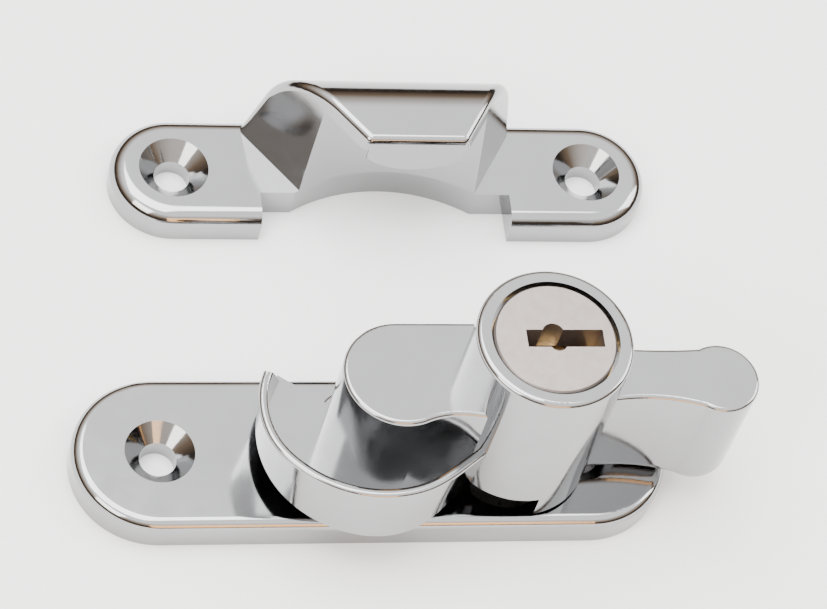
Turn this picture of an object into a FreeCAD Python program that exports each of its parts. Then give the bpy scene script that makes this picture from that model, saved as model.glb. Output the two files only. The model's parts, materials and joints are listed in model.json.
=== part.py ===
"""Keyed window lock: a turning lever with a lock barrel and a spiral cam, and the keeper it hooks into.

Millimetres.  The origin is on the lever's pivot axis at the underside of the base plate.
+X runs along the plate towards the thumb piece, +Y points at the keeper, +Z is up.
"""
import FreeCAD, Part
import Sketcher
import math
import os

Vec = FreeCAD.Vector
UP = Vec(0, 0, 1)
doc = FreeCAD.newDocument("window_lock")

DIMENSIONS = {
    # base plate, with the raised pedestal that the lever sits on
    "plate_length": 66.0,
    "plate_width": 18.54,
    "plate_thick": 4.0,
    "plate_round": 1.2,
    "screw_offset": 23.47,
    "screw_radius": 2.05,
    "countersink_radius": 3.83,
    "pedestal_radius": 7.5,
    "pedestal_top": 6.2,
    "pedestal_round": 0.6,
    # pivot post, its rivet head and what sits on it
    "post_radius": 3.0,
    "post_top": 17.0,
    "post_head_radius": 4.6,
    "post_head_thick": 1.3,
    "groove_radius": 2.25,
    "groove_low": 14.9,
    "groove_high": 16.7,
    "washer_radius": 6.5,
    "washer_thick": 0.4,
    "spring_washer_rise": 0.6,
    "spring_washer_thick": 0.3,
    "pin_radius": 0.75,
    "pin_length": 8.6,
    "pin_start": 5.2,
    "run_gap": 0.05,
    # lever: hub, neck, cup floor and thumb piece
    "hub_radius": 6.24,
    "arm_top": 20.3,
    "arm_round": 0.45,
    "floor_low": 6.6,
    "floor_thick": 1.0,
    "cup_wall": 1.1,
    "rim_round": 0.42,
    "rim_height": 14.4,
    "recess_radius": 6.9,
    "recess_top": 7.25,
    "closed_angle": 90.0,
    "thumb_top": 20.1,
    "thumb_low": 4.6,
    "thumb_end_x": 35.15,
    "thumb_end_y": -0.5,
    "thumb_end_radius": 4.2,
    "thumb_half_width": 3.3,
    "thumb_low_round": 1.8,
    # barrel and the lock inside it
    "barrel_x": 15.14,
    "barrel_radius": 8.47,
    "barrel_top": 27.4,
    "barrel_low": 7.6,
    "barrel_round": 0.6,
    "foot_low": 4.5,
    "foot_reach": 18.6,
    "cavity_radius": 6.4,
    "cavity_low": 9.2,
    "cover_radius": 5.2,
    "cover_low": 7.75,
    "cover_high": 9.0,
    "sleeve_radius": 6.7,
    "sleeve_bore": 5.5,
    "sleeve_low": 14.1,
    "sleeve_high": 25.5,
    "mouth_radius": 6.9,
    "plug_radius": 5.45,
    "plug_low": 13.2,
    "plug_top": 27.25,
    "plug_head_radius": 6.6,
    "plug_edge": 0.2,
    "clip_radius": 6.2,
    "clip_groove": 4.7,
    "clip_low": 13.5,
    "clip_high": 14.0,
    "clip_gap": 3.0,
    "key_slot_left": 3.1,
    "key_slot_right": 5.2,
    "key_slot_width": 2.1,
    "key_slot_low": 14.8,
    "key_bump_radius": 1.2,
    "key_bump_depth": 9.0,
    "key_bulge_radius": 0.9,
    "key_bulge_depth": 6.0,
    "screw_seat_depth": 1.4,
    "wafer_thick": 0.8,
    "wafer_width": 4.6,
    "wafer_reach": 5.4,
    "wafer_first": 23.5,
    "wafer_pitch": 2.0,
    "wafer_travel": 0.5,
    "wafer_slack": 0.03,
    "ear_length": 0.8,
    "ear_reach": 1.2,
    "ear_x": 1.3,
    "window_length": 7.6,
    "window_width": 2.3,
    "window_left": 3.3,
    "pocket_length": 4.3,
    "pocket_width": 1.5,
    "pocket_left": 1.5,
    "spring_coil": 0.3,
    "spring_wire": 0.07,
    "spring_length": 2.7,
    "spring_y": 2.95,
    "cam_radius": 3.2,
    "cam_low": 12.0,
    "cam_high": 13.1,
    "crank_throw": 1.2,
    "crank_pin": 0.6,
    "crank_pin_low": 10.4,
    "bolt_radius": 1.1,
    "bolt_height": 10.85,
    "bolt_tip": 3.3,
    "bolt_depth": 1.3,
    "tail_length": 5.5,
    "tail_width": 4.2,
    "tail_thick": 1.0,
    "grub_radius": 1.0,
    "grub_height": 18.0,
    "grub_length": 1.5,
    "cam_screw_radius": 0.7,
    "cam_screw_head": 1.1,
    # keeper, about the centre of its own plate's underside
    "keeper_x": 5.2,
    "keeper_y": 36.9,
    "keeper_length": 62.5,
    "keeper_width": 14.08,
    "keeper_thick": 4.0,
    "keeper_round": 1.9,
    "keeper_screw_offset": 24.1,
    "keeper_countersink": 3.96,
    "notch_half": 14.5,
    "notch_back": 3.3,
    "notch_round": 1.0,
    "scoop_radius": 20.0,
    "scoop_lean": 1.9,
    "hood_top": 17.5,
    "hood_roof": 15.6,
    "hood_foot": 2.0,
    "hood_back": 6.1,
    "hood_bend": 7.0,
    "hood_round": 0.9,
    "facet_left_foot": 12.3,
    "facet_left_slope": 0.76,
    "facet_left_lean": 0.29,
    "facet_right_foot": 12.33,
    "facet_right_slope": 0.605,
    "facet_right_lean": 0.187,
    "lip_front": 5.3,
    "lip_rear_radius": 12.6,
    "lip_low": 11.5,
    "lip_round": 0.45,
    "working_x": -1.1,
    "working_y": 16.4,
}

# Rim of the spiral cam wall: angle about the pivot in degrees, inner radius.  It closes in on the
# pivot as it goes round, which is what draws the two sashes together.
RIM = [(164, 12.9), (174, 13.2), (186, 13.3), (200, 13.15), (219, 12.3), (239, 11.4), (265, 10.5),
       (290, 10.0), (312, 9.9), (323, 10.3), (332, 11.0)]
# Foot of the same wall, where it meets the floor: angle, outer radius.
FOOT = [(145, 13.4), (165, 13.4), (185, 13.4), (210, 13.2), (240, 12.6), (262, 12.15), (280, 11.6),
        (297, 10.9), (311, 10.5), (323, 10.8), (332, 11.6)]
WAFERS = 5
SPRING_TURNS = 5


def make_sheet():
    """The sheet of driving dimensions: a name, a number and an alias on each row."""
    table = doc.addObject("Spreadsheet::Sheet", "dims")
    for row, (name, value) in enumerate(DIMENSIONS.items(), start=1):
        table.set(f"A{row}", name)
        table.set(f"B{row}", str(value))
        table.setAlias(f"B{row}", name)
    doc.recompute()
    return table


sheet = make_sheet()


def size(expression):
    """The value of a sheet expression, such as "dims.plate_length / 2"."""
    value = sheet.evalExpression(expression)
    return float(getattr(value, "Value", value))


def dim(name):
    return size("dims." + name)


def polar(radius, degrees, height=0.0):
    turn = math.radians(degrees)
    return Vec(radius * math.cos(turn), radius * math.sin(turn), height)


# ---------------------------------------------------------------- sketches and bodies

def plane_of(body, role):
    return next(feature for feature in body.Origin.OriginFeatures if feature.Role == role)


def new_sketch(body, role, name, height=None):
    """A sketch on one of the body's own origin planes, lifted by a sheet expression if one is given."""
    sketch = body.newObject("Sketcher::SketchObject", name)
    sketch.AttachmentSupport = [(plane_of(body, role), "")]
    sketch.MapMode = "FlatFace"
    if height:
        sketch.setExpression("AttachmentOffset.Base.z", height)
    return sketch


def fix_corner(sketch, line, kind, expression, axis):
    """Hold the start of a line at a distance from the origin, or on the axis where that is nothing."""
    value = size(expression)
    if abs(value) < 1e-9:
        sketch.addConstraint(Sketcher.Constraint("PointOnObject", line, 1, axis))
        return
    index = sketch.addConstraint(Sketcher.Constraint(kind, -1, 1, line, 1, value))
    sketch.setExpression(f"Constraints[{index}]", expression)


def draw_polygon(sketch, corners):
    """A closed polygon whose corners are pairs of sheet expressions."""
    places = [Vec(size(across), size(up), 0) for across, up in corners]
    count = len(places)
    for i, place in enumerate(places):
        sketch.addGeometry(Part.LineSegment(place, places[(i + 1) % count]), False)
    for i in range(count):
        sketch.addConstraint(Sketcher.Constraint("Coincident", i, 2, (i + 1) % count, 1))
    for i, (across, up) in enumerate(corners):
        fix_corner(sketch, i, "DistanceX", across, -2)
        fix_corner(sketch, i, "DistanceY", up, -1)


def draw_circle(sketch, radius, across="0"):
    """A circle centred on the sketch's horizontal axis."""
    centre = Vec(size(across), 0, 0)
    index = sketch.addGeometry(Part.Circle(centre, UP, size(radius)), False)
    bound = sketch.addConstraint(Sketcher.Constraint("Radius", index, size(radius)))
    sketch.setExpression(f"Constraints[{bound}]", radius)
    sketch.addConstraint(Sketcher.Constraint("PointOnObject", index, 3, -1))
    if abs(centre.x) < 1e-9:
        sketch.addConstraint(Sketcher.Constraint("PointOnObject", index, 3, -2))
        return
    bound = sketch.addConstraint(Sketcher.Constraint("DistanceX", -1, 1, index, 3, centre.x))
    sketch.setExpression(f"Constraints[{bound}]", across)


def draw_stadium(sketch, length, width):
    """A straight-sided outline with half-round ends, centred on the origin."""
    radius = size(width) / 2
    half = size(length) / 2 - radius
    quarter = math.pi / 2
    sketch.addGeometry(Part.LineSegment(Vec(-half, radius, 0), Vec(half, radius, 0)), False)
    right = Part.Circle(Vec(half, 0, 0), UP, radius)
    sketch.addGeometry(Part.ArcOfCircle(right, -quarter, quarter), False)
    sketch.addGeometry(Part.LineSegment(Vec(half, -radius, 0), Vec(-half, -radius, 0)), False)
    left = Part.Circle(Vec(-half, 0, 0), UP, radius)
    sketch.addGeometry(Part.ArcOfCircle(left, quarter, 3 * quarter), False)
    for first, end, second, other in ((0, 2, 1, 2), (1, 1, 2, 1), (2, 2, 3, 2), (3, 1, 0, 1)):
        sketch.addConstraint(Sketcher.Constraint("Tangent", first, end, second, other))
    sketch.addConstraint(Sketcher.Constraint("Symmetric", 1, 3, 3, 3, -1, 1))
    sketch.addConstraint(Sketcher.Constraint("PointOnObject", 1, 3, -1))
    bound = sketch.addConstraint(Sketcher.Constraint("Radius", 1, radius))
    sketch.setExpression(f"Constraints[{bound}]", f"({width}) / 2")
    bound = sketch.addConstraint(Sketcher.Constraint("DistanceX", 3, 3, 1, 3, 2 * half))
    sketch.setExpression(f"Constraints[{bound}]", f"({length}) - ({width})")


def pad(body, sketch, name, length):
    feature = body.newObject("PartDesign::Pad", name)
    feature.Profile = sketch
    feature.setExpression("Length", length)
    sketch.Visibility = False
    doc.recompute()
    return feature


def pocket_up(body, sketch, name, depth):
    """Cut upwards from the sketch."""
    before = body.Shape.Volume
    feature = body.newObject("PartDesign::Pocket", name)
    feature.Profile = sketch
    feature.Reversed = True
    feature.setExpression("Length", depth)
    doc.recompute()
    if body.Shape.Volume >= before:
        raise RuntimeError(f"{name} cuts nothing")
    return feature


def edges_at(shape, height, test):
    """Names of the edges that lie at one height and pass a test on their box."""
    found = []
    for number, edge in enumerate(shape.Edges, start=1):
        box = edge.BoundBox
        if abs(box.ZMin - height) < 1e-4 and abs(box.ZMax - height) < 1e-4 and test(box):
            found.append(f"Edge{number}")
    return found


def dress(body, kind, name, edges, amount):
    """Round (Fillet) or bevel (Chamfer) some edges of the body's last feature."""
    base = body.Tip
    feature = body.newObject(f"PartDesign::{kind}", name)
    feature.Base = (base, edges)
    feature.setExpression("Radius" if kind == "Fillet" else "Size", amount)
    doc.recompute()
    return feature


def turned(label, profile, across="0"):
    """A piece turned about a vertical axis.  The profile is a list of (radius, height) expressions."""
    body = doc.addObject("PartDesign::Body", label)
    sketch = new_sketch(body, "XZ_Plane", label + "_profile")
    draw_polygon(sketch, profile)
    feature = body.newObject("PartDesign::Revolution", label + "_turn")
    feature.Profile = sketch
    feature.ReferenceAxis = (sketch, ["V_Axis"])
    feature.Angle = 360
    body.setExpression("Placement.Base.x", across)
    doc.recompute()
    return body


def ring_profile(inner, outer, low, high):
    return [(inner, low), (outer, low), (outer, high), (inner, high)]


# ---------------------------------------------------------------- Part primitives and booleans

def place(piece, x="0", y="0", z="0"):
    for axis, expression in zip("xyz", (x, y, z)):
        piece.setExpression(f"Placement.Base.{axis}", expression)


def cylinder(name, radius, height, at=("0", "0", "0"), along=UP):
    piece = doc.addObject("Part::Cylinder", name)
    piece.setExpression("Radius", radius)
    piece.setExpression("Height", height)
    piece.Placement.Rotation = FreeCAD.Rotation(UP, along)
    place(piece, *at)
    return piece


def box(name, length, width, height, at):
    piece = doc.addObject("Part::Box", name)
    piece.setExpression("Length", length)
    piece.setExpression("Width", width)
    piece.setExpression("Height", height)
    place(piece, *at)
    return piece


def fuse(label, pieces):
    joined = doc.addObject("Part::MultiFuse", label)
    joined.Shapes = pieces
    return joined


def cut(label, base, tools):
    """The base less its tools."""
    removed = doc.addObject("Part::Cut", label)
    removed.Base = base
    removed.Tool = tools[0] if len(tools) == 1 else fuse(label + "_tools", tools)
    return removed


def plain(label, shape):
    """A piece whose shape is worked out from the sheet with Part's own functions."""
    feature = doc.addObject("Part::Feature", label)
    feature.Shape = shape
    return feature


# ---------------------------------------------------------------- base plate and pivot

def drill_screw_holes(body, offset, countersink, thick):
    """Two through holes on the plate's middle line, each with a 90 degree countersink."""
    sketch = new_sketch(body, "XY_Plane", body.Label + "_hole_sketch")
    for side in (f"{offset}", f"-{offset}"):
        draw_circle(sketch, "dims.screw_radius", side)
    pocket_up(body, sketch, body.Label + "_holes", f"{thick} + 1")
    reach = size("dims.screw_radius") + 0.01
    rims = edges_at(body.Shape, size(thick),
                    lambda b: b.YLength < 2 * reach and abs(abs(b.Center.x) - size(offset)) < 0.01)
    dress(body, "Chamfer", body.Label + "_countersinks", rims, f"{countersink} - dims.screw_radius")


def make_base_plate():
    body = doc.addObject("PartDesign::Body", "base_plate")
    outline = new_sketch(body, "XY_Plane", "plate_outline")
    draw_stadium(outline, "dims.plate_length", "dims.plate_width")
    pad(body, outline, "plate_slab", "dims.plate_thick")
    top = edges_at(body.Shape, dim("plate_thick"), lambda b: True)
    dress(body, "Fillet", "plate_edge", top, "dims.plate_round")
    raised = new_sketch(body, "XY_Plane", "pedestal_outline")
    draw_circle(raised, "dims.pedestal_radius")
    pad(body, raised, "pedestal", "dims.pedestal_top")
    crown = edges_at(body.Shape, dim("pedestal_top"), lambda b: True)
    dress(body, "Fillet", "pedestal_edge", crown, "dims.pedestal_round")
    drill_screw_holes(body, "dims.screw_offset", "dims.countersink_radius", "dims.plate_thick")
    bore = new_sketch(body, "XY_Plane", "post_bore_outline")
    draw_circle(bore, "dims.post_radius")
    pocket_up(body, bore, "post_bore", "dims.pedestal_top + 1")
    seat = new_sketch(body, "XY_Plane", "rivet_seat_outline")
    draw_circle(seat, "dims.post_head_radius")
    pocket_up(body, seat, "rivet_seat", "dims.post_head_thick + 0.2")
    return body


def make_pivot_post():
    """Riveted post: a head in the plate's underside, a groove for the retaining pin near its top and
    two blind side holes for the lock bolt, one for each end of the lever's travel."""
    blank = turned("post_blank", [
        ("0", "0.2"),
        ("dims.post_head_radius", "0.2"),
        ("dims.post_head_radius", "dims.post_head_thick + 0.2"),
        ("dims.post_radius", "dims.post_head_thick + 0.2"),
        ("dims.post_radius", "dims.groove_low"),
        ("dims.groove_radius", "dims.groove_low"),
        ("dims.groove_radius", "dims.groove_high"),
        ("dims.post_radius", "dims.groove_high"),
        ("dims.post_radius", "dims.post_top"),
        ("0", "dims.post_top"),
    ])
    holes = []
    for name, degrees in (("open_hole", 0.0), ("closed_hole", -dim("closed_angle"))):
        start = polar(dim("bolt_depth"), degrees)
        hole = cylinder(name, "dims.bolt_radius + dims.run_gap", "dims.post_radius",
                        (f"{start.x:.6f}", f"{start.y:.6f}", "dims.bolt_height"), polar(1, degrees))
        holes.append(hole)
    return cut("pivot_post", blank, holes)


def make_washers():
    inner = "dims.post_radius + dims.run_gap"
    top = "dims.pedestal_top + dims.washer_thick"
    turned("thrust_washer", ring_profile(inner, "dims.washer_radius", "dims.pedestal_top", top))
    rise = "dims.spring_washer_rise"
    thick = "dims.spring_washer_thick"
    turned("spring_washer", [
        (inner, f"{top} + {rise} - {thick}"),
        ("dims.washer_radius", top),
        ("dims.washer_radius", f"{top} + {thick}"),
        (inner, f"{top} + {rise}"),
    ])


def make_retaining_pin():
    """A cross pin that passes beside the post in its groove, pushed in from the back of the hub."""
    cylinder("retaining_pin", "dims.pin_radius", "dims.pin_length",
             ("-dims.groove_radius - dims.pin_radius - dims.run_gap", "dims.pin_start",
              "(dims.groove_low + dims.groove_high) / 2"), Vec(0, -1, 0))


# ---------------------------------------------------------------- lever casting

def prism(edges, low, high):
    """An upright prism over a closed outline."""
    face = Part.Face(Part.Wire(edges))
    face.translate(UP * low)
    return face.extrude(UP * (high - low))


def smooth(points):
    curve = Part.BSplineCurve()
    curve.interpolate(points)
    return curve.toShape()


def straight(start, end):
    return Part.LineSegment(start, end).toShape()


def round_level_edges(solid, height, radius, test=lambda b: True):
    """Round the edges of a solid that lie at one height."""
    chosen = []
    for edge in solid.Edges:
        b = edge.BoundBox
        if abs(b.ZMin - height) < 1e-4 and abs(b.ZMax - height) < 1e-4 and test(b):
            chosen.append(edge)
    return solid.makeFillet(radius, chosen)


def arm_solid():
    """Hub and neck: round about the pivot, straight along the back, waisted along the front."""
    r = dim("hub_radius")
    inside_barrel = dim("barrel_x") - dim("barrel_radius") / 2
    leave = 2.0
    start = Vec(leave, -math.sqrt(r * r - leave * leave), 0)
    back = Vec(0, r, 0)
    front_end = Vec(inside_barrel, -5.6, 0)
    waist = [start, Vec(3.5, -5.37, 0), Vec(5.2, -5.12, 0), Vec(7.0, -5.2, 0), front_end]
    corner = Vec(inside_barrel, r, 0)
    edges = [Part.Arc(back, Vec(-r, 0, 0), start).toShape(), smooth(waist),
             straight(front_end, corner), straight(corner, back)]
    solid = prism(edges, dim("floor_low"), dim("arm_top"))
    return round_level_edges(solid, dim("arm_top"), dim("arm_round"),
                             lambda b: b.XMin < inside_barrel - 0.5)


def thumb_solid():
    """Flat thumb piece: a slightly waisted neck that ends in a round."""
    start_x = dim("barrel_x") + dim("barrel_radius") * 0.75
    half = dim("thumb_half_width")
    end = Vec(dim("thumb_end_x"), dim("thumb_end_y"), 0)
    radius = dim("thumb_end_radius")
    back_join = end + polar(radius, 118)
    front_join = end + polar(radius, -122)
    tip = end + Vec(radius, 0, 0)
    waist_x = (start_x + end.x) / 2 + 1
    back_side = [Vec(start_x, half + 0.25, 0), Vec(waist_x, half - 0.2, 0), back_join]
    front_side = [front_join, Vec(waist_x, -half + 0.05, 0), Vec(start_x, -half - 0.25, 0)]
    edges = [smooth(back_side), Part.Arc(back_join, tip, front_join).toShape(), smooth(front_side),
             straight(front_side[-1], back_side[0])]
    solid = prism(edges, dim("thumb_low"), dim("thumb_top"))
    solid = round_level_edges(solid, dim("thumb_low"), dim("thumb_low_round"),
                              lambda b: b.XMax > start_x + 0.5)
    return round_level_edges(solid, dim("thumb_top"), dim("arm_round"),
                             lambda b: b.XMax > start_x + 0.5)


def cup_wall_outline(height, inner):
    """Closed outline of the cam wall at one height.  inner lists (angle, inner radius)."""
    wall = dim("cup_wall")
    inside = [polar(radius, angle, height) for angle, radius in inner]
    outside = [polar(radius + wall, angle, height) for angle, radius in inner]
    return Part.Wire([smooth(outside), straight(outside[-1], inside[-1]),
                      smooth(list(reversed(inside))), straight(inside[0], outside[0])])


def cup_solid():
    """Floor sector and the spiral wall that rises from it, leaning out at the left and in at the front."""
    low = dim("floor_low")
    foot = [(angle, radius - dim("cup_wall")) for angle, radius in FOOT]
    wall = Part.makeLoft([cup_wall_outline(low, foot), cup_wall_outline(dim("rim_height"), RIM)],
                         True, True)
    wall = round_level_edges(wall, dim("rim_height"), dim("rim_round"),
                             lambda b: b.DiagonalLength > 2 * dim("cup_wall"))
    reach = [polar(radius - dim("cup_wall") / 2, angle) for angle, radius in FOOT]
    floor = prism([straight(Vec(0, 0, 0), reach[0]), smooth(reach), straight(reach[-1], Vec(0, 0, 0))],
                  low, low + dim("floor_thick"))
    return floor.fuse(wall)


def barrel_solid():
    """Lock barrel, with a foot under its outer side that rides just above the plate."""
    centre = Vec(dim("barrel_x"), 0, dim("barrel_low"))
    barrel = Part.makeCylinder(dim("barrel_radius"), dim("barrel_top") - dim("barrel_low"), centre)
    barrel = round_level_edges(barrel, dim("barrel_top"), dim("barrel_round"))
    foot_place = Vec(dim("barrel_x"), 0, dim("foot_low"))
    depth = dim("barrel_low") - dim("foot_low") + 1.0
    foot = Part.makeCylinder(dim("barrel_radius"), depth, foot_place)
    near = Part.makeCylinder(dim("foot_reach"), depth + 2, Vec(0, 0, dim("foot_low") - 1))
    return barrel.fuse(foot.cut(near))


def barrel_hollow():
    """What is bored out of the barrel: plug mouth, sleeve bore, cavity, base opening, grub hole, bolt way."""
    def bore(radius, low, high):
        return Part.makeCylinder(radius, high - low, Vec(dim("barrel_x"), 0, low))

    hollow = bore(dim("mouth_radius"), dim("sleeve_high"), dim("barrel_top") + 1)
    hollow = hollow.fuse([
        bore(dim("sleeve_radius"), dim("sleeve_low"), dim("sleeve_high")),
        bore(dim("cavity_radius"), dim("cavity_low"), dim("sleeve_low")),
        bore(dim("cover_radius"), dim("barrel_low") - 2, dim("cavity_low")),
        Part.makeCylinder(dim("grub_radius"), dim("barrel_radius") + 1,
                          Vec(dim("barrel_x"), 0, dim("grub_height")), Vec(0, 1, 0)),
        Part.makeCylinder(dim("bolt_radius") + dim("run_gap"), dim("barrel_x"),
                          Vec(0, 0, dim("bolt_height")), Vec(1, 0, 0)),
    ])
    return hollow


def hub_hollow():
    """Blind bore for the post, the washers' recess and the retaining pin's hole from the back."""
    bore = Part.makeCylinder(dim("post_radius") + dim("run_gap"), dim("post_top") + 0.3)
    recess = Part.makeCylinder(dim("recess_radius"), dim("recess_top"))
    pin_x = -dim("groove_radius") - dim("pin_radius") - dim("run_gap")
    pin_z = (dim("groove_low") + dim("groove_high")) / 2
    pin_low = dim("pin_start") - dim("pin_length")
    pin = Part.makeCylinder(dim("pin_radius"), dim("hub_radius") - pin_low + 1,
                            Vec(pin_x, pin_low, pin_z), Vec(0, 1, 0))
    return bore.fuse([recess, pin])


def make_lever():
    solid = arm_solid().fuse([thumb_solid(), barrel_solid(), cup_solid()])
    solid = solid.cut(barrel_hollow()).cut(hub_hollow())
    return plain("lever", solid.removeSplitter())


# ---------------------------------------------------------------- lock inside the barrel

AXIS = "dims.barrel_x"


def make_sleeve():
    """Fixed sleeve with two inside grooves that the wafers stand out into, a quarter turn apart."""
    blank = turned("sleeve_blank", ring_profile("dims.sleeve_bore", "dims.sleeve_radius",
                                                "dims.sleeve_low", "dims.sleeve_high"), AXIS)
    low = "dims.sleeve_low + 0.6"
    tall = "dims.sleeve_high - dims.sleeve_low - 1.4"
    deep = "dims.wafer_reach + dims.wafer_travel + 0.2"
    wide = "dims.wafer_width + 0.3"
    locked = box("groove_locked", deep, wide, tall, (AXIS, f"-({wide}) / 2", low))
    turned_key = box("groove_turned", wide, deep, tall, (f"{AXIS} - ({wide}) / 2", "0", low))
    cut("lock_sleeve", blank, [locked, turned_key])
    cylinder("sleeve_grub_screw", "dims.grub_radius", "dims.grub_length",
             (AXIS, "dims.sleeve_radius", "dims.grub_height"), Vec(0, 1, 0))


def wafer_height(index):
    return f"(dims.wafer_first - {index} * dims.wafer_pitch)"


def make_plug():
    """Key plug: a flat head in the barrel's mouth, a body in the sleeve, a key slot down its middle."""
    blank = turned("plug_blank", [
        ("0", "dims.plug_low"),
        ("dims.plug_radius", "dims.plug_low"),
        ("dims.plug_radius", "dims.clip_low - 0.05"),
        ("dims.clip_groove", "dims.clip_low - 0.05"),
        ("dims.clip_groove", "dims.clip_high + 0.05"),
        ("dims.plug_radius", "dims.clip_high + 0.05"),
        ("dims.plug_radius", "dims.sleeve_high + 0.05"),
        ("dims.plug_head_radius", "dims.sleeve_high + 0.05"),
        ("dims.plug_head_radius", "dims.plug_top - dims.plug_edge"),
        ("dims.plug_head_radius - dims.plug_edge", "dims.plug_top"),
        ("0", "dims.plug_top"),
    ], AXIS)
    depth = "dims.plug_top - dims.key_slot_low + 1"
    tools = [
        box("key_slot", "dims.key_slot_left + dims.key_slot_right", "dims.key_slot_width", depth,
            (f"{AXIS} - dims.key_slot_left", "-dims.key_slot_width / 2", "dims.key_slot_low")),
        cylinder("key_slot_bump", "dims.key_bump_radius", "dims.key_bump_depth + 1",
                 (f"{AXIS} - 0.2", "dims.key_bump_radius / 2", "dims.plug_top - dims.key_bump_depth")),
        cylinder("key_slot_bulge", "dims.key_bulge_radius", "dims.key_bulge_depth + 1",
                 (f"{AXIS} + 0.2", "-0.65", "dims.plug_top - dims.key_bulge_depth")),
        cylinder("cam_screw_hole", "dims.cam_screw_radius", "dims.screw_seat_depth + 0.1",
                 (AXIS, "0", "dims.plug_low - 0.1")),
    ]
    for index in range(WAFERS):
        low = f"{wafer_height(index)} - dims.wafer_thick / 2 - dims.wafer_slack"
        tall = "dims.wafer_thick + 2 * dims.wafer_slack"
        tools.append(box(f"wafer_slot_{index + 1}", "2 * dims.sleeve_radius",
                         "dims.wafer_width + 2 * dims.run_gap", tall,
                         (f"{AXIS} - dims.sleeve_radius", "-dims.wafer_width / 2 - dims.run_gap", low)))
        tools.append(box(f"spring_pocket_{index + 1}", "dims.pocket_length", "dims.pocket_width", tall,
                         (f"{AXIS} - dims.pocket_left", "dims.wafer_width / 2 - 0.1", low)))
    return cut("lock_plug", blank, tools)


def make_wafer(index):
    """Flat wafer: rounded at both ends, open in the middle for the key, with an ear for its spring."""
    name = f"wafer_{index + 1}"
    low = f"{wafer_height(index)} - dims.wafer_thick / 2"
    blade = box(name + "_blade", "2 * dims.wafer_reach", "dims.wafer_width", "dims.wafer_thick",
                (f"{AXIS} - dims.wafer_reach", "-dims.wafer_width / 2", low))
    ear = box(name + "_ear", "dims.ear_length", "dims.ear_reach", "dims.wafer_thick",
              (f"{AXIS} + dims.ear_x", "dims.wafer_width / 2 - 0.1", low))
    ends = cylinder(name + "_ends", "dims.wafer_reach", "dims.wafer_thick", (AXIS, "0", low))
    rounded = doc.addObject("Part::Common", name + "_rounded")
    rounded.Base = fuse(name + "_blank", [blade, ear])
    rounded.Tool = ends
    window = box(name + "_window", "dims.window_length", "dims.window_width", "dims.wafer_thick + 1",
                 (f"{AXIS} - dims.window_left", "-dims.window_width / 2", f"{low} - 0.5"))
    cut(name, rounded, [window])


def make_wafer_spring(index):
    """Small coil spring lying along the wafer, between the pocket's end and the wafer's ear."""
    coil, wire, length = dim("spring_coil"), dim("spring_wire"), dim("spring_length")
    path = Part.makeHelix(length / SPRING_TURNS, length - 2 * wire, coil)
    section = Part.Wire(Part.makeCircle(wire, Vec(coil, 0, 0), Vec(0, 1, 0)))
    spring = Part.Wire(path).makePipeShell([section], True, True)
    feature = plain(f"wafer_spring_{index + 1}", spring)
    start_x = dim("barrel_x") - dim("pocket_left") + dim("run_gap") + wire
    start = Vec(start_x, dim("spring_y"), size(wafer_height(index)))
    feature.Placement = FreeCAD.Placement(start, FreeCAD.Rotation(UP, Vec(1, 0, 0)))


def make_circlip():
    """Spring clip in the plug's groove, under the sleeve, with a gap to open it by."""
    ring = turned("clip_ring", ring_profile("dims.clip_groove + 0.02", "dims.clip_radius",
                                            "dims.clip_low", "dims.clip_high"), AXIS)
    gap = box("clip_opening", "dims.clip_gap", "dims.clip_radius + 1", "2",
              (f"{AXIS} - dims.clip_gap / 2", "0", "dims.clip_low - 0.5"))
    cut("plug_circlip", ring, [gap])


def make_drive_cam():
    """Crank disc screwed to the plug's tail.  Its pin stands down into the bolt's cross slot."""
    disc = cylinder("cam_disc", "dims.cam_radius", "dims.cam_high - dims.cam_low",
                    (AXIS, "0", "dims.cam_low"))
    offset = "dims.crank_throw * cos(45 deg)"
    pin = cylinder("cam_pin", "dims.crank_pin", "dims.cam_high - dims.crank_pin_low",
                   (f"{AXIS} + {offset}", offset, "dims.crank_pin_low"))
    blank = fuse("cam_blank", [disc, pin])
    seat = cylinder("cam_screw_seat", "dims.cam_screw_radius", "3", (AXIS, "0", "dims.cam_low - 0.5"))
    cut("drive_cam", blank, [seat])
    cylinder("cam_screw", "dims.cam_screw_radius",
             "dims.plug_low + dims.screw_seat_depth - dims.cam_low - 0.1", (AXIS, "0", "dims.cam_low + 0.05"))


def make_lock_bolt():
    """Sliding bolt: a round nose towards the post and a flat tail with the cross slot for the pin."""
    nose_end = f"{AXIS} - 2.2"
    nose = cylinder("bolt_nose", "dims.bolt_radius", f"{nose_end} - dims.bolt_tip",
                    ("dims.bolt_tip", "0", "dims.bolt_height"), Vec(1, 0, 0))
    tail = box("bolt_tail", "dims.tail_length", "dims.tail_width", "dims.tail_thick",
               (f"{AXIS} - 2.6", "-1.6", "dims.bolt_height - dims.tail_thick / 2"))
    offset = "dims.crank_throw * cos(45 deg)"
    play = "(dims.crank_pin + 0.06)"
    slot = box("bolt_slot", f"2 * {play}", f"dims.crank_throw - {offset} + 2 * {play}", "3",
               (f"{AXIS} + {offset} - {play}", f"{offset} - {play}", "dims.bolt_height - 1.5"))
    cut("lock_bolt", fuse("bolt_blank", [nose, tail]), [slot])


def make_barrel_cover():
    cylinder("barrel_base_cover", "dims.cover_radius", "dims.cover_high - dims.cover_low",
             (AXIS, "0", "dims.cover_low"))


# ---------------------------------------------------------------- keeper

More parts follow.
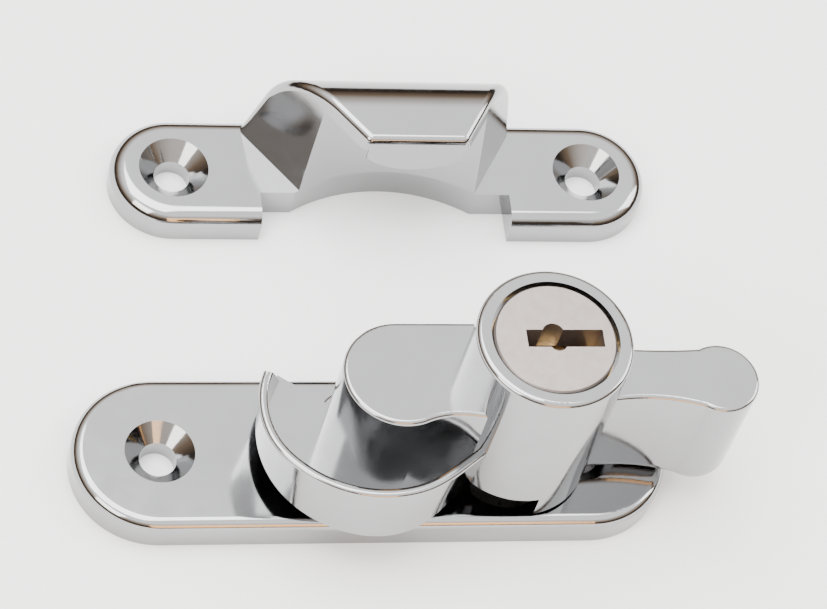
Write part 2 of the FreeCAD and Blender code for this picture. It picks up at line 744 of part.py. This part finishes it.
def keeper_plate():
    """The keeper's plate as a body: round-ended, edge rounded, two countersunk holes."""
    body = doc.addObject("PartDesign::Body", "keeper_plate")
    outline = new_sketch(body, "XY_Plane", "keeper_outline")
    draw_stadium(outline, "dims.keeper_length", "dims.keeper_width")
    pad(body, outline, "keeper_slab", "dims.keeper_thick")
    top = edges_at(body.Shape, dim("keeper_thick"), lambda b: True)
    dress(body, "Fillet", "keeper_edge", top, "dims.keeper_round")
    drill_screw_holes(body, "dims.keeper_screw_offset", "dims.keeper_countersink",
                      "dims.keeper_thick")
    return body


def facet_x(side, y, height):
    """Where the hood's left (-1) or right (1) side facet stands, at one depth and height."""
    name = "right" if side > 0 else "left"
    foot, slope, lean = (dim(f"facet_{name}_{word}") for word in ("foot", "slope", "lean"))
    return side * (foot + slope * y - lean * (height - dim("keeper_thick")))


def hood_outline(height):
    """The hood's plan at one height, run out behind it: two side facets that face half forward."""
    front, behind = -dim("lip_front"), dim("keeper_width")
    corners = [(-1, front), (1, front), (1, behind), (-1, behind)]
    points = [Vec(facet_x(side, y, height), y, height) for side, y in corners]
    return Part.Wire(Part.makePolygon(points + points[:1]))


def hood_block():
    """Hood over the hook: upright back, large round over to the flat top, cut off by the side facets."""
    front, low, top = -dim("lip_front"), dim("hood_foot"), dim("hood_top")
    back, bend = dim("hood_back"), dim("hood_bend")
    wide = dim("keeper_width") * 4
    turn = Vec(0, back - bend, top - bend)
    middle = turn + Vec(0, bend * math.sin(math.pi / 4), bend * math.cos(math.pi / 4))
    upright_top = Vec(0, back, top - bend)
    flat_back = Vec(0, back - bend, top)
    edges = [straight(Vec(0, front, low), Vec(0, back, low)), straight(Vec(0, back, low), upright_top),
             Part.Arc(upright_top, middle, flat_back).toShape(), straight(flat_back, Vec(0, front, top)),
             straight(Vec(0, front, top), Vec(0, front, low))]
    arch = Part.Face(Part.Wire(edges)).extrude(Vec(wide, 0, 0))
    arch.translate(Vec(-wide / 2, 0, 0))
    tall = dim("hood_top") + 1
    wedge = Part.makeLoft([hood_outline(low - 1), hood_outline(tall)], True, True)
    block = arch.common(wedge)

    def on_rim(edge):
        box = edge.BoundBox
        across = box.XLength > dim("keeper_width")
        at_front = abs(box.YMin - front) < 0.01 and abs(box.ZMin - top) < 0.01
        return box.ZMax > low + 1 and (at_front or not across)

    return block.makeFillet(dim("hood_round"), [edge for edge in block.Edges if on_rim(edge)])


def scoop():
    """What the cam wall's ring sweeps through: a straight cut in the plate, then leaning back."""
    radius = dim("scoop_radius")
    centre = Vec(0, -radius - 0.3, -1)
    thick = dim("keeper_thick")
    shaft = Part.makeCylinder(radius, thick + 1, centre)
    lane = Part.makeBox(2 * dim("notch_half"), 40, thick + 1, Vec(-dim("notch_half"), -40, -1))
    lean = Part.makeCone(radius, radius + dim("scoop_lean"), dim("hood_roof") - thick,
                         Vec(0, -radius - 0.3, thick))
    return shaft.common(lane).fuse(lean)


def notch():
    """Cut across the plate's front edge, with rounded inner corners."""
    half, back = dim("notch_half"), dim("notch_back")
    block = Part.makeBox(2 * half, 20, dim("keeper_thick") + 2, Vec(-half, -20 - back, -1))
    upright = [e for e in block.Edges
               if e.BoundBox.ZLength > 1 and abs(e.BoundBox.YMax + back) < 0.01]
    return block.makeFillet(dim("notch_round"), upright)


def hook_lip():
    """Tongue that hangs from the hood's front; its rear is round about the lever's pivot."""
    front = -dim("lip_front")
    low, high = dim("lip_low"), dim("hood_roof") + 0.8
    left, right = Vec(-4.3, front, 13.6), Vec(6.5, front, 13.4)
    tongue = Part.Arc(right, Vec(1.3, front, low), left).toShape()
    edges = [tongue, straight(left, Vec(left.x, front, high)),
             straight(Vec(left.x, front, high), Vec(right.x, front, high)),
             straight(Vec(right.x, front, high), right)]
    slab = Part.Face(Part.Wire(edges)).extrude(Vec(0, 3, 0))
    lower_edge = [edge for edge in slab.Edges
                  if abs(edge.BoundBox.YMax - front) < 0.01 and abs(edge.BoundBox.ZMin - low) < 0.2]
    slab = slab.makeFillet(dim("lip_round"), lower_edge)
    pivot = Vec(-dim("working_x"), -dim("working_y"), 0)
    return slab.common(Part.makeCylinder(dim("lip_rear_radius"), 20, pivot))


def make_keeper():
    plate = keeper_plate()
    solid = plate.Shape.cut(notch())
    hood = hood_block()
    solid = solid.fuse(hood).cut(scoop())
    in_front = Part.makeBox(60, 20, dim("hood_roof") - 2, Vec(-30, -20 - dim("notch_back"), -1))
    solid = solid.cut(in_front.common(Part.makeBox(2 * dim("notch_half"), 40, 30,
                                                   Vec(-dim("notch_half"), -40, -2))))
    solid = solid.fuse(hook_lip())
    keeper = plain("keeper", solid.removeSplitter())
    keeper.Placement = FreeCAD.Placement(Vec(dim("keeper_x"), dim("keeper_y"), 0), FreeCAD.Rotation())
    return keeper


# ---------------------------------------------------------------- build and write

NODES = (
    ["base_plate", "pivot_post", "thrust_washer", "spring_washer", "retaining_pin", "lever",
     "lock_sleeve", "sleeve_grub_screw", "lock_plug", "plug_circlip", "drive_cam", "cam_screw",
     "lock_bolt", "barrel_base_cover", "keeper"]
    + [f"wafer_{i + 1}" for i in range(WAFERS)]
    + [f"wafer_spring_{i + 1}" for i in range(WAFERS)]
)


def build():
    make_base_plate()
    make_pivot_post()
    make_washers()
    make_retaining_pin()
    make_lever()
    make_sleeve()
    make_plug()
    for index in range(WAFERS):
        make_wafer(index)
        make_wafer_spring(index)
    make_circlip()
    make_drive_cam()
    make_lock_bolt()
    make_barrel_cover()
    make_keeper()
    doc.recompute()


def check():
    """Stop before writing if any object failed or any piece is not one valid solid."""
    for item in doc.Objects:
        if "Invalid" in item.State or "Error" in item.State:
            raise RuntimeError(f"{item.Label}: {item.State}")
    for label in NODES:
        shape = doc.getObjectsByLabel(label)[0].Shape
        if shape.isNull() or not shape.isValid() or shape.Volume <= 0:
            raise RuntimeError(f"{label} is not a valid solid")
        if len(shape.Solids) != 1:
            raise RuntimeError(f"{label} has {len(shape.Solids)} solids")


def write():
    os.makedirs("parts", exist_ok=True)
    for label in NODES:
        doc.getObjectsByLabel(label)[0].Shape.exportStep(f"parts/{label}.step")


build()
check()
write()
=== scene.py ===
"""Looks of the keyed window lock: materials, camera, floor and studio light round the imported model."""
import bpy
import json
import math
from mathutils import Matrix, Vector

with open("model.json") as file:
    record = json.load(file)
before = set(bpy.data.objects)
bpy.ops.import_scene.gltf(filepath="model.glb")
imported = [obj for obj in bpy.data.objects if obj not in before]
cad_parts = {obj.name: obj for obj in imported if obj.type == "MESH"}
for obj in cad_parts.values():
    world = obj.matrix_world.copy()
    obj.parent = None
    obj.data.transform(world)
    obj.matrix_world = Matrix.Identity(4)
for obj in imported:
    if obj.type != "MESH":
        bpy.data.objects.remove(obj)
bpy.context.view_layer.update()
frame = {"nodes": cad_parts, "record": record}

MM = 0.001

# Metal colours, linear: each finish wanders between a light and a dark one.
CHROME_LIGHT, CHROME_DARK = (0.33, 0.332, 0.337), (0.315, 0.316, 0.32)
NICKEL_LIGHT, NICKEL_DARK = (0.36, 0.32, 0.30), (0.31, 0.27, 0.255)
BRASS_LIGHT, BRASS_DARK = (0.78, 0.56, 0.27), (0.60, 0.40, 0.17)
STEEL_LIGHT, STEEL_DARK = (0.60, 0.60, 0.60), (0.46, 0.46, 0.47)
SPRING_LIGHT, SPRING_DARK = (0.42, 0.42, 0.44), (0.30, 0.30, 0.32)
FLOOR_LIGHT, FLOOR_DARK = (0.93, 0.93, 0.93), (0.90, 0.90, 0.90)

# Roughness, from the smoothest spot to the dullest.
CHROME_ROUGH = (0.07, 0.13)
NICKEL_ROUGH = (0.34, 0.5)
BRASS_ROUGH = (0.22, 0.42)
STEEL_ROUGH = (0.25, 0.45)
SPRING_ROUGH = (0.25, 0.4)
FLOOR_ROUGH = 0.9

# Camera: angles in radians, distance and aim in metres, lens and sensor in millimetres.
YAW, ELEVATION, ROLL = -0.407, 0.970, 0.345
DISTANCE = 0.400
LENS, SENSOR = 158.9, 36.0
AIM_RIGHT, AIM_UP = 5.08 * MM, 17.96 * MM
CLIP_START = 0.01

# Floor, and the point that every light faces.
FLOOR_SIZE = 3.0
FLOOR_HEIGHT = -0.02 * MM
LIGHT_TARGET = (0.0, 0.018, 0.01)
WHITE = (1, 1, 1)
NEARLY_WHITE = (1.0, 0.98, 0.95)
AMBER = (1.0, 0.55, 0.25)

# Surround: colour by height, where 0 is straight down and 1 straight up.
WORLD_STRENGTH = 3.5
SURROUND = [
    (0.0, (0.030, 0.022, 0.016)),
    (0.16, (0.02, 0.015, 0.012)),
    (0.36, (0.15, 0.105, 0.07)),
    (0.60, (0.50, 0.465, 0.43)),
    (0.74, (0.86, 0.86, 0.86)),
    (1.0, (0.80, 0.80, 0.80)),
]


# ---------------------------------------------------------------- node helpers

def new_material(name):
    """A material with an empty Principled shader; returns the material, its tree and the shader."""
    material = bpy.data.materials.new(name)
    material.use_nodes = True
    tree = material.node_tree
    shader = tree.nodes["Principled BSDF"]
    return material, tree, shader


def place_of(tree):
    """Object coordinates, which stay with the piece when it moves."""
    return tree.nodes.new("ShaderNodeTexCoord").outputs["Object"]


def noise(tree, place, scale, detail=4.0, rough=0.55, stretch=None):
    """A noise pattern; scale is in waves per metre and stretch squeezes it along the axes."""
    node = tree.nodes.new("ShaderNodeTexNoise")
    node.inputs["Scale"].default_value = scale
    node.inputs["Detail"].default_value = detail
    node.inputs["Roughness"].default_value = rough
    if stretch:
        mapping = tree.nodes.new("ShaderNodeMapping")
        mapping.inputs["Scale"].default_value = stretch
        tree.links.new(place, mapping.inputs["Vector"])
        place = mapping.outputs["Vector"]
    tree.links.new(place, node.inputs["Vector"])
    return node.outputs["Fac"]


def spread(tree, value, low, high, from_low=0.3, from_high=0.7):
    """Map the middle of a pattern onto a range."""
    node = tree.nodes.new("ShaderNodeMapRange")
    node.inputs["From Min"].default_value = from_low
    node.inputs["From Max"].default_value = from_high
    node.inputs["To Min"].default_value = low
    node.inputs["To Max"].default_value = high
    tree.links.new(value, node.inputs["Value"])
    return node.outputs["Result"]


def blend_colours(tree, factor, first, second):
    """A colour that goes from the first to the second as the factor goes from 0 to 1."""
    node = tree.nodes.new("ShaderNodeMix")
    node.data_type = "RGBA"
    tree.links.new(factor, node.inputs["Factor"])
    node.inputs["A"].default_value = (*first, 1.0)
    node.inputs["B"].default_value = (*second, 1.0)
    return node.outputs["Result"]


def colour_by(tree, shader, pattern, first, second):
    """Colour the shader by a pattern, stretched to the full way between two colours."""
    colour = blend_colours(tree, spread(tree, pattern, 0.0, 1.0), first, second)
    tree.links.new(colour, shader.inputs["Base Color"])


def add_bump(tree, shader, height, distance, strength):
    """Fine surface relief from a pattern."""
    node = tree.nodes.new("ShaderNodeBump")
    node.inputs["Distance"].default_value = distance
    node.inputs["Strength"].default_value = strength
    tree.links.new(height, node.inputs["Height"])
    tree.links.new(node.outputs["Normal"], shader.inputs["Normal"])


# ---------------------------------------------------------------- materials

def chrome(name):
    """Plated casting: near mirror, faintly wavy from polishing, with patches of dulled plate."""
    material, tree, shader = new_material(name)
    place = place_of(tree)
    shader.inputs["Metallic"].default_value = 1.0
    patches = noise(tree, place, scale=160.0, detail=3.0)
    colour_by(tree, shader, patches, CHROME_LIGHT, CHROME_DARK)
    smears = noise(tree, place, scale=420.0, detail=6.0, rough=0.65)
    tree.links.new(spread(tree, smears, *CHROME_ROUGH), shader.inputs["Roughness"])
    grain = noise(tree, place, scale=5200.0, detail=3.0, rough=0.6)
    add_bump(tree, shader, grain, distance=0.02 * MM, strength=0.10)
    return material


def satin_nickel(name):
    """Plug face: satin, faintly pink, with fine tumbling grain."""
    material, tree, shader = new_material(name)
    place = place_of(tree)
    shader.inputs["Metallic"].default_value = 1.0
    cloud = noise(tree, place, scale=700.0)
    colour_by(tree, shader, cloud, NICKEL_LIGHT, NICKEL_DARK)
    grain = noise(tree, place, scale=9000.0, detail=3.0, rough=0.7)
    tree.links.new(spread(tree, grain, *NICKEL_ROUGH), shader.inputs["Roughness"])
    add_bump(tree, shader, grain, distance=0.04 * MM, strength=0.35)
    return material


def drawn_metal(name, light, dark, rough_range):
    """Plain machined metal with streaks across the piece's height."""
    material, tree, shader = new_material(name)
    place = place_of(tree)
    shader.inputs["Metallic"].default_value = 1.0
    streaks = noise(tree, place, scale=1500.0, rough=0.6, stretch=(1.0, 1.0, 6.0))
    colour_by(tree, shader, streaks, light, dark)
    tree.links.new(spread(tree, streaks, *rough_range), shader.inputs["Roughness"])
    add_bump(tree, shader, streaks, distance=0.03 * MM, strength=0.3)
    return material


FINISHES = {
    "chrome_base": chrome("chrome_base"),
    "chrome_lever": chrome("chrome_lever"),
    "chrome_keeper": chrome("chrome_keeper"),
    "plug_nickel": satin_nickel("plug_nickel"),
    "brass": drawn_metal("brass", BRASS_LIGHT, BRASS_DARK, BRASS_ROUGH),
    "steel": drawn_metal("steel", STEEL_LIGHT, STEEL_DARK, STEEL_ROUGH),
    "spring_steel": drawn_metal("spring_steel", SPRING_LIGHT, SPRING_DARK, SPRING_ROUGH),
}


def finish_nodes():
    """Give every CAD node the material of its slot in the record."""
    for part in frame["record"]["subparts"]:
        piece = frame["nodes"][part["node"]]
        piece.data.materials.clear()
        piece.data.materials.append(FINISHES[part["material_slot"]])


finish_nodes()


# ---------------------------------------------------------------- camera, floor and light

def make_camera():
    """The camera looks down from the front left, rolled so that the plates lie level in its view."""
    right = Vector((math.cos(YAW), math.sin(YAW), 0.0))
    back = Vector((math.sin(YAW) * math.cos(ELEVATION), -math.cos(YAW) * math.cos(ELEVATION),
                   math.sin(ELEVATION)))
    up = back.cross(right)
    across = right * math.cos(ROLL) + up * math.sin(ROLL)
    upward = up * math.cos(ROLL) - right * math.sin(ROLL)
    data = bpy.data.cameras.new("camera")
    data.lens = LENS
    data.sensor_width = SENSOR
    data.clip_start = CLIP_START
    camera = bpy.data.objects.new("camera", data)
    bpy.context.collection.objects.link(camera)
    place = back * DISTANCE + across * AIM_RIGHT + upward * AIM_UP
    turn = Matrix((across, upward, back)).transposed().to_4x4()
    camera.matrix_world = Matrix.Translation(place) @ turn
    bpy.context.scene.camera = camera


def make_floor():
    """Wide pale floor just under the plates."""
    bpy.ops.mesh.primitive_plane_add(size=FLOOR_SIZE, location=(0, 0, FLOOR_HEIGHT))
    floor = bpy.context.object
    floor.name = "floor"
    material, tree, shader = new_material("pale_floor")
    cloud = noise(tree, place_of(tree), scale=30.0, detail=2.0)
    tree.links.new(blend_colours(tree, cloud, FLOOR_LIGHT, FLOOR_DARK), shader.inputs["Base Color"])
    shader.inputs["Roughness"].default_value = FLOOR_ROUGH
    floor.data.materials.append(material)


def make_world():
    """Studio surround: pale overhead, dim and warm towards the horizon."""
    world = bpy.data.worlds.new("studio")
    bpy.context.scene.world = world
    world.use_nodes = True
    tree = world.node_tree
    place = tree.nodes.new("ShaderNodeTexCoord").outputs["Generated"]
    split = tree.nodes.new("ShaderNodeSeparateXYZ")
    tree.links.new(place, split.inputs["Vector"])
    ramp = tree.nodes.new("ShaderNodeValToRGB")
    tree.links.new(split.outputs["Z"], ramp.inputs["Fac"])
    while len(ramp.color_ramp.elements) < len(SURROUND):
        ramp.color_ramp.elements.new(0.5)
    for element, (position, colour) in zip(ramp.color_ramp.elements, SURROUND):
        element.position = position
        element.color = (*colour, 1.0)
    background = tree.nodes["Background"]
    tree.links.new(ramp.outputs["Color"], background.inputs["Color"])
    background.inputs["Strength"].default_value = WORLD_STRENGTH


def add_area(name, place, width, watts, colour=WHITE):
    """A soft square light that points at the middle of the object."""
    data = bpy.data.lights.new(name, "AREA")
    data.energy = watts
    data.size = width
    data.color = colour
    lamp = bpy.data.objects.new(name, data)
    bpy.context.collection.objects.link(lamp)
    lamp.location = place
    towards = Vector(LIGHT_TARGET) - Vector(place)
    lamp.rotation_euler = towards.to_track_quat("-Z", "Y").to_euler()


make_camera()
make_floor()
make_world()
add_area("overhead", place=(-0.10, 0.10, 0.60), width=0.50, watts=6.0)
add_area("left_front", place=(-0.45, -0.30, 0.40), width=0.35, watts=3.0, colour=NEARLY_WHITE)
add_area("right", place=(0.50, 0.10, 0.35), width=0.30, watts=2.0)
add_area("warm_low", place=(0.05, -0.45, 0.16), width=0.22, watts=0.7, colour=AMBER)
